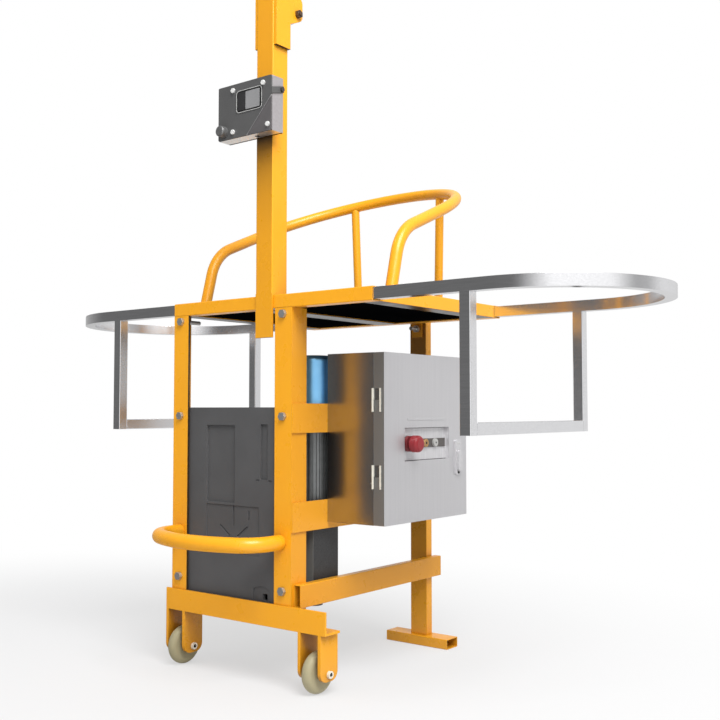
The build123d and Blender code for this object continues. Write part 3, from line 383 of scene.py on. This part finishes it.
def slot_finishes():
    """Materials by slot, for the nodes that have none of their own."""
    return {
        "yellow_paint": paint("yellow paint"),
        "carrier_grey": metal(
            "polished stainless tube", srgb(238, 238, 240), srgb(231, 231, 233), 0.2, tube_grain),
        "box_steel": metal(
            "satin sheet steel", srgb(217, 217, 218), srgb(211, 211, 212), 0.22, sheet_grain),
        "hoist_grey": moulded(
            "dark hoist coating", srgb(91, 91, 92), srgb(86, 86, 87), 0.5, specular=0.3),
        "motor_blue": metal(
            "blue motor cap", srgb(138, 200, 243), srgb(130, 192, 237), 0.32, (40, 40, 40), 0.8),
        "lock_steel": metal(
            "lock case steel", srgb(208, 203, 205), srgb(200, 195, 197), 0.34, lock_grain, 0.85),
        "plate_metal": moulded("nameplate", grey(40), grey(34), 0.4, specular=0.3),
        "zinc": metal("zinc bolt", srgb(192, 192, 191), srgb(178, 178, 177), 0.36, turned_grain, 0.7),
        "nylon": moulded(
            "cream nylon", srgb(178, 170, 138), srgb(166, 158, 126), 0.5,
            specular=0.3, grain=260.0, depth=0.00008),
        "machined_steel": metal(
            "machined steel", srgb(214, 214, 216), srgb(202, 202, 204), 0.26, turned_grain),
        "bronze": metal("bronze", srgb(190, 150, 90), srgb(176, 136, 78), 0.35, turned_grain),
        "black_plastic": moulded("black plastic", srgb(42, 42, 44), srgb(34, 34, 36), 0.45),
        "red_plastic": moulded(
            "red plastic", srgb(150, 41, 48), srgb(140, 36, 43), 0.34, grain=500.0, depth=0.00002),
        "brass_button": metal(
            "brass button", srgb(190, 150, 100), srgb(168, 130, 84), 0.35, turned_grain, 0.6),
        "grey_plastic": moulded("grey plastic", srgb(180, 180, 177), srgb(172, 172, 169), 0.35),
    }


def ribbed_cover():
    """The lock's dark cover, with a painted highlight on the rib across its lower corner and painted
    light on the field past it.
    """
    strap_thick = 0.003
    rib_margin = 0.003
    rib_high = 0.073
    rib_across = 0.070
    rib_band = 0.0025
    low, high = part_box("lock_cover")
    rib_end = high[0] - strap_thick - rib_margin
    slope = (rib_high - rib_margin, 0.0, rib_margin - rib_across)
    look = Graph("lock cover with painted rib highlight")
    past_rib = look.beyond(slope, (rib_end, 0.0, low[2] + rib_high))
    from_rib = look.beyond(slope, (rib_end, 0.0, low[2] + rib_high + rib_band))
    field = look.blend(look.mottle(14.0, 4.0), grey(89), grey(95))
    # Painted light on the corner past the rib, and a painted highlight on the rib's pale band
    corner = look.blend(look.mottle(22.0, 4.0), srgb(92, 90, 91), srgb(104, 101, 102))
    colour = look.blend(from_rib, field, look.blend(past_rib, srgb(150, 148, 149), corner))
    return pebbled(look, colour, 0.42, specular=0.3)


def low_face(node, axis):
    """Place along an axis just inside a node's lowest face."""
    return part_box(node)[0]["XYZ".index(axis)] + hair


def high_face(node, axis):
    """Place along an axis just inside a node's highest face."""
    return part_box(node)[1]["XYZ".index(axis)] - hair


def seat_board():
    """The black boards: matt underneath, and a scuffed, pebbled anti-slip face on top."""
    look = Graph("black seat board")
    under = look.below("Z", high_face("left_seat_board", "Z"))
    scuffs = look.ramp(look.noise(9.0, 6.0), 0.42, 0.72)
    pebbles = look.noise(330.0, 1.0)
    worn = look.blend(scuffs, srgb(26, 26, 27), srgb(46, 46, 47))
    worn = look.blend(look.ramp(pebbles, 0.45, 0.7, 0.0, 0.5), worn, srgb(62, 62, 63))
    plain = look.blend(look.mottle(14.0, 4.0), srgb(7, 7, 8), srgb(10, 10, 11))
    return look.surface(
        colour=look.blend(under, worn, plain),
        rough=look.ramp(scuffs, 0.0, 1.0, 0.6, 0.8),
        specular=look.ramp(under, 0.0, 1.0, 0.3, 0.0),
        normal=look.bump(pebbles, depth=0.0006, strength=0.5, over=look.eased(0.001)),
    )


def lock_metal():
    """The lock's case, with painted shade in its gaps, painted light on its underside, and a painted
    shadow line along that underside's back edge.
    """
    back_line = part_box("lock_case")[1][1] - 0.006
    look = Graph("lock case with painted light and shade")
    lines = look.lines(lock_grain)
    sides = look.blend(look.evened(lines), srgb(200, 195, 197), srgb(208, 203, 205))
    # Painted light: a paler underside
    under = look.blend(look.evened(lines), srgb(244, 243, 240), srgb(250, 249, 247))
    # Painted shadow along the underside's back edge
    under = look.blend(look.above("Y", back_line), under, shadow_brown)
    colour = look.blend(look.below("Z", low_face("lock_case", "Z")), sides, under)
    # Painted shade in the gaps
    colour = look.blend(look.ramp(look.open_air(0.03), 0.3, 0.85), shadow_brown, colour)
    return lined(look, lines, colour, 0.34, 0.85)


def side_paint(name, node, colour, corners=corner_shade):
    """Paint with a painted shade colour on the node's outer face along X."""
    return paint(name, side=(high_face(node, "X"), colour), corners=corners)


def box_sheet(name, colour, shade, rough, gloss, front):
    """Sheet steel of the control box, with a darker painted shade colour on the box's front face."""
    return metal(name, colour, shade, rough, sheet_grain, gloss, (low_face("box_shell", "Y"), front))


def own_finishes():
    """Materials by node, for those that differ from the rest of their slot."""
    hinge_leaf = 0.0013
    strip_thick = 0.0022
    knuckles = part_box("box_shell")[0][1] - hinge_leaf
    strip_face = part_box("switch_strip")[0][0] + strip_thick
    lock_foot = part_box("lock_case")[0][2]
    mast_stops = [(lock_foot + height, dark) for height, dark in mast_shadow_by_height]
    board = seat_board()
    latch = metal("pale latch", srgb(206, 205, 207), srgb(199, 198, 200), 0.42, (160, 160, 160), 0.35)
    hinge = two_tone("hinge knuckles", "Y", knuckles, cream, srgb(176, 176, 175), 0.24, 1.0)
    # Painted shadow on the rails' faces below the seat bearer's underside
    rail_paint = paint("rail paint", low_face("seat_bearer", "Z"))
    return {
        "left_seat_board": board,
        "right_seat_board": board,
        # Painted shade: the box's front face is darker
        "box_shell": box_sheet(
            "shell steel", srgb(217, 217, 218), srgb(211, 211, 212), 0.24, 1.0, srgb(176, 176, 175)),
        "box_door": box_sheet(
            "door steel", srgb(204, 203, 205), srgb(201, 200, 202), 0.4, 0.6, srgb(144, 144, 142)),
        "switch_panel": metal(
            "light switch panel", srgb(212, 211, 213), srgb(205, 204, 206), 0.4, sheet_grain, 0.35),
        "switch_strip": two_tone(
            "strip and collar", "X", strip_face, srgb(80, 75, 72), srgb(128, 36, 42), 0.42),
        "latch_base": latch,
        "latch_handle": latch,
        "lock_reset_knob": metal("dull knob", grey(132), grey(112), 0.42, (400, 400, 400), 0.5),
        "lock_cover": ribbed_cover(),
        "lock_case": lock_metal(),
        "lock_cover_bolts": two_tone(
            "lock bolts", "X", high_face("lock_cover", "X"), srgb(236, 236, 234), srgb(52, 50, 50), 0.32),
        "box_hinge_posts": hinge,
        "door_hinge_leaves": hinge,
        # Painted light and shade: the gear case's front face is lighter and the rest darker
        "gear_case": two_tone(
            "gear case with painted front light", "Y", low_face("gear_case", "Y"),
            srgb(116, 116, 113), srgb(39, 39, 40), 0.5),
        "motor_housing": metal(
            "cast motor fins", srgb(124, 126, 126), srgb(114, 116, 116), 0.36, (60, 60, 60), 0.8),
        "axle_bolts": two_tone(
            "axle bolts", "Z", low_face("mast_cheeks", "Z"), srgb(238, 232, 216), srgb(74, 50, 28), 0.34),
        # Painted shadow on the cheeks' underside
        "mast_cheeks": paint("cheek paint", low_face("mast_cheeks", "Z")),
        # Painted shadow on the mast's underside, and on its front face, darkest just below the lock
        "mast": paint("mast paint", low_face("mast", "Z"), front_shadow=(low_face("mast", "Y"), mast_stops)),
        # Painted shadow on the leg's front face, darker higher up
        "rear_leg": paint("leg paint", front_shadow=(low_face("rear_leg", "Y"), leg_shadow_by_height)),
        # Painted shade on the outer face along X of these four, and lighter painted shade in the low
        # rail's corners
        "left_upright": side_paint("left upright paint", "left_upright", shadow_brown),
        "right_upright": side_paint("right upright paint", "right_upright", shaded_yellow),
        "support_bars": side_paint("support paint", "support_bars", shaded_yellow),
        "lower_side_rail": side_paint("low rail paint", "lower_side_rail", shaded_yellow, light_corner_shade),
        # Lighter painted shade in the foot bar's corners and open ends
        "foot_bar": paint("foot bar paint", corners=light_corner_shade),
        "left_side_rail": rail_paint,
        "right_side_rail": rail_paint,
        "seat_bearer": rail_paint,
    }


def dress_nodes():
    """Gives every node its own material, or else the one of its slot."""
    by_slot = slot_finishes()
    by_node = own_finishes()
    for part in frame["record"]["subparts"]:
        finish = by_node.get(part["node"]) or by_slot[part["material_slot"]]
        materials = frame["nodes"][part["node"]].data.materials
        materials.clear()
        materials.append(finish)


def rounded(width, height, corner, steps=6):
    """Outline of a rectangle with round corners, anticlockwise about its middle."""
    points = []
    for number, (sx, sy) in enumerate(((1, 1), (-1, 1), (-1, -1), (1, -1))):
        for step in range(steps + 1):
            angle = math.radians(90 * number + 90 * step / steps)
            x = sx * (width / 2 - corner) + corner * math.cos(angle)
            y = sy * (height / 2 - corner) + corner * math.sin(angle)
            points.append((x, y))
    return points


def six_sided(reach):
    """Outline of a hexagon, anticlockwise about its middle, with the reach of its corners."""
    turns = [math.radians(60 * step) for step in range(6)]
    return [(reach * math.cos(turn), reach * math.sin(turn)) for turn in turns]


def middle_of(low, high, axis, face):
    """Middle of a box's face across one axis."""
    point = [(a + b) / 2 for a, b in zip(low, high)]
    point[axis] = face
    return point


def add_object(name, data):
    """A new object in the scene."""
    made = bpy.data.objects.new(name, data)
    bpy.context.scene.collection.objects.link(made)
    return made


def raised_plate(name, outline, place, stand, finish, body, hole=None):
    """A low plate that stands on a face, with its top edge eased all round.

    place is its middle and the directions across and up on the face. stand is its height and the width
    of the eased edge. finish is its material and slot. A hole has as many points as the outline.
    """
    middle, across, up = [Vector(part) for part in place]
    out = across.cross(up)
    height, edge = stand
    material, slot = finish
    mesh = bmesh.new()

    def ring(points, shrink, lift):
        row = []
        for x, y in points:
            reach = math.hypot(x, y)
            scale = (reach - shrink) / reach
            row.append(mesh.verts.new(middle + across * x * scale + up * y * scale + out * lift))
        return row

    rows = [ring(outline, 0.0, 0.0), ring(outline, 0.0, height - edge), ring(outline, edge, height)]
    if hole:
        rows += [ring(hole, -edge, height), ring(hole, 0.0, height - edge), ring(hole, 0.0, 0.0), rows[0]]
    count = len(outline)
    for lower, upper in zip(rows, rows[1:]):
        for index in range(count):
            after = (index + 1) % count
            mesh.faces.new((lower[index], lower[after], upper[after], upper[index]))
    if not hole:
        mesh.faces.new(rows[-1])
        mesh.faces.new(list(reversed(rows[0])))
    bmesh.ops.recalc_face_normals(mesh, faces=mesh.faces)
    data = bpy.data.meshes.new(name)
    mesh.to_mesh(data)
    mesh.free()
    piece = add_object(name, data)
    piece.data.materials.append(material)
    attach(piece, body)


# Height and eased edge of the small marks, of the lines and of the nameplate's fields
mark_stand = (0.0004, 0.0002)
line_stand = (0.0006, 0.0002)
field_stand = (0.0003, 0.0001)

pale_line = moulded("pale line", srgb(196, 196, 194), srgb(186, 186, 184), 0.4)
dark_field = moulded("dark field", srgb(54, 54, 55), srgb(46, 46, 47), 0.45)
grey_field = moulded("grey field", srgb(150, 150, 151), srgb(140, 140, 141), 0.45)
black_spot = moulded("black spot", grey(20), grey(14), 0.5)
# Dark marks, also used as the painted shadow lines at the switch window
dark_marks_and_shade = (black_spot, "black_plastic")


def make_nameplate():
    """A bare plate: pale rim, a dark field on its left and a plain grey one on its right."""
    rim = 0.0016
    rim_corner = 0.008
    rim_inner_corner = 0.0068
    field_corner = 0.002
    field_share = 0.8
    fields = (
        ("nameplate_dark_field", 0.06, 0.33, dark_field),
        ("nameplate_grey_field", 0.36, 0.91, grey_field),
    )
    low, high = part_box("lock_nameplate")
    width = high[0] - low[0]
    height = high[2] - low[2]
    middle = middle_of(low, high, 1, low[1])
    outer = rounded(width, height, rim_corner)
    inner = rounded(width - 2 * rim, height - 2 * rim, rim_inner_corner)
    place = (middle, along_x, along_z)
    raised_plate("nameplate_rim", outer, place, line_stand, (pale_line, "plate_metal"), "frame", inner)
    for name, start, end, material in fields:
        outline = rounded(width * (end - start), height * field_share, field_corner)
        field_middle = (low[0] + width * (start + end) / 2, middle[1], middle[2])
        place = (field_middle, along_x, along_z)
        raised_plate(name, outline, place, field_stand, (material, "plate_metal"), "frame")


def make_button_dots():
    """The dark dot on each of the two small buttons."""
    roundness = 0.48
    for button, size in (("start_button", 0.006), ("test_button", 0.0042)):
        low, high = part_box(button)
        outline = rounded(size, size, size * roundness)
        place = (middle_of(low, high, 0, high[0]), along_y, along_z)
        raised_plate(button + "_dot", outline, place, mark_stand, dark_marks_and_shade, button)


def make_window_shadow_lines():
    """Painted shadow: dark lines along the lower and upper edge of the sunk switch window."""
    flange = 0.01
    recess = 0.008
    line = 0.0013
    line_corner = 0.0005
    low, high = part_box("switch_panel")
    outline = rounded(high[1] - low[1] - 2 * flange, line, line_corner)
    inset = flange + line / 2
    for name, height in (("window_shadow_line_low", low[2] + inset), ("window_shadow_line_high", high[2] - inset)):
        middle = (high[0] - recess, (low[1] + high[1]) / 2, height)
        raised_plate(name, outline, (middle, along_y, along_z), line_stand, dark_marks_and_shade, "door")


def make_latch_marks():
    """The latch's dark keyhole, and a pale line above it as a painted highlight."""
    keyhole = rounded(0.009, 0.006, 0.0028)
    keyhole_up = 0.0055
    line = rounded(0.016, 0.003, 0.0013)
    line_down = 0.010
    low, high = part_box("latch_base")
    face = high[0]
    middle = (low[1] + high[1]) / 2
    place = ((face, middle, low[2] + keyhole_up), along_y, along_z)
    raised_plate("latch_keyhole", keyhole, place, mark_stand, dark_marks_and_shade, "door")
    place = ((face, middle, high[2] - line_down), along_y, along_z)
    raised_plate("latch_top_highlight", line, place, line_stand, (pale_line, "box_steel"), "door")


def make_bolt_sockets():
    """Painted shade in the hexagon socket in the head of each axle bolt: a dark floor and wall, with the
    side that its head is on.
    """
    head_stand = 0.002
    floor_outline = six_sided(0.0042)
    wall_outline = six_sided(0.00459)
    wall_hole = six_sided(0.0043)
    wall_stand = (0.004, 0.0001)
    finish = (black_spot, "zinc")
    bolts = (
        ("left_wheel", "left_fork", 1),
        ("right_wheel", "right_fork", 1),
        ("rope_pulley", "mast_cheeks", -1),
    )
    for turning, holder, side in bolts:
        low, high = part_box(turning)
        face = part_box(holder)[1 if side > 0 else 0][0] + side * head_stand
        place = (middle_of(low, high, 0, face), (0, side, 0), along_z)
        socket = turning + "_socket"
        raised_plate(socket + "_floor", floor_outline, place, mark_stand, finish, "frame")
        raised_plate(socket + "_wall", wall_outline, place, wall_stand, finish, "frame", wall_hole)


def studio_levels(tree, direction):
    """Brightness of the surroundings that gloss shows, by the direction round the part."""
    parts = split(tree, direction)
    to_front = math_node(tree, "MULTIPLY", parts["Y"], -1.0)
    angle = math_node(tree, "ARCTAN2", parts["X"], to_front)
    return levels(tree, angle, [(math.radians(degrees), level) for degrees, level in studio_round])


def seen_plainly(tree, rays):
    """1 for what the camera sees itself or through a clear surface, and 0 for light and reflections."""
    return math_node(tree, "MAXIMUM", rays.outputs["Is Camera Ray"], rays.outputs["Is Transmission Ray"])


def make_floor():
    """Pale floor that keeps the part's shadow and fades to white, and that gloss sees as the studio."""
    bpy.ops.mesh.primitive_plane_add(size=floor_size, location=(0, 0, 0))
    floor = bpy.context.object
    floor.name = "floor"
    material = bpy.data.materials.new("pale floor")
    tree = empty_tree(material)
    output = tree.nodes.new("ShaderNodeOutputMaterial")
    paper = tree.nodes.new("ShaderNodeBsdfDiffuse")
    paper.inputs["Color"].default_value = srgb(216, 216, 217)
    place = tree.nodes.new("ShaderNodeTexCoord").outputs["Object"]
    rays = tree.nodes.new("ShaderNodeLightPath")
    in_gloss = rays.outputs["Is Glossy Ray"]
    glow = tree.nodes.new("ShaderNodeEmission")
    tint = mix_colours(tree, in_gloss, white, studio_levels(tree, place))
    tree.links.new(tint, glow.inputs["Color"])
    away = vector_node(tree, "DISTANCE", place, floor_middle)
    fade = spread(tree, away, floor_fade_start, floor_fade_end, floor_lift, 1.0, "SMOOTHSTEP")
    lift = math_node(tree, "MULTIPLY", fade, seen_plainly(tree, rays))
    share = math_node(tree, "MAXIMUM", lift, in_gloss)
    mix = mix_shaders(tree, share, paper.outputs["BSDF"], glow.outputs["Emission"])
    tree.links.new(mix, output.inputs["Surface"])
    floor.data.materials.append(material)


def make_world():
    """White for the camera, a soft dome for the light, and a studio with a dark side for gloss."""
    world = bpy.data.worlds.new("studio")
    bpy.context.scene.world = world
    tree = empty_tree(world)
    output = tree.nodes.new("ShaderNodeOutputWorld")
    direction = tree.nodes.new("ShaderNodeTexCoord").outputs["Generated"]
    rays = tree.nodes.new("ShaderNodeLightPath")

    def background(colour, strength):
        node = tree.nodes.new("ShaderNodeBackground")
        join(tree, colour, node.inputs["Color"])
        join(tree, strength, node.inputs["Strength"])
        return node.outputs["Background"]

    dome = background(white, spread(tree, split(tree, direction)["Z"], 0.0, 1.0, dome_side, dome_top))
    gloss = background(studio_levels(tree, direction), 1.0)
    lighting = mix_shaders(tree, rays.outputs["Is Glossy Ray"], dome, gloss)
    surroundings = mix_shaders(tree, seen_plainly(tree, rays), lighting, background(white, 1.0))
    tree.links.new(surroundings, output.inputs["Surface"])


def make_key_lamp():
    """One large soft lamp."""
    data = bpy.data.lights.new("key", "AREA")
    data.shape = "SQUARE"
    data.size = key_size
    data.energy = key_power
    lamp = add_object("key", data)
    lamp.location = key_place
    toward = Vector(key_aim) - Vector(key_place)
    lamp.rotation_euler = toward.to_track_quat("-Z", "Y").to_euler()


def make_camera():
    """The camera of the photo."""
    data = bpy.data.cameras.new("photo camera")
    data.sensor_width = camera_sensor
    data.lens = camera_lens
    camera = add_object("photo camera", data)
    camera.location = camera_place
    camera.rotation_euler = (math.radians(90 + camera_pitch), 0, math.radians(camera_turn))
    bpy.context.scene.camera = camera


dress_nodes()
make_nameplate()
make_button_dots()
make_window_shadow_lines()
make_latch_marks()
make_bolt_sockets()
make_floor()
make_world()
make_key_lamp()
make_camera()
bpy.context.scene.view_settings.view_transform = "Standard"
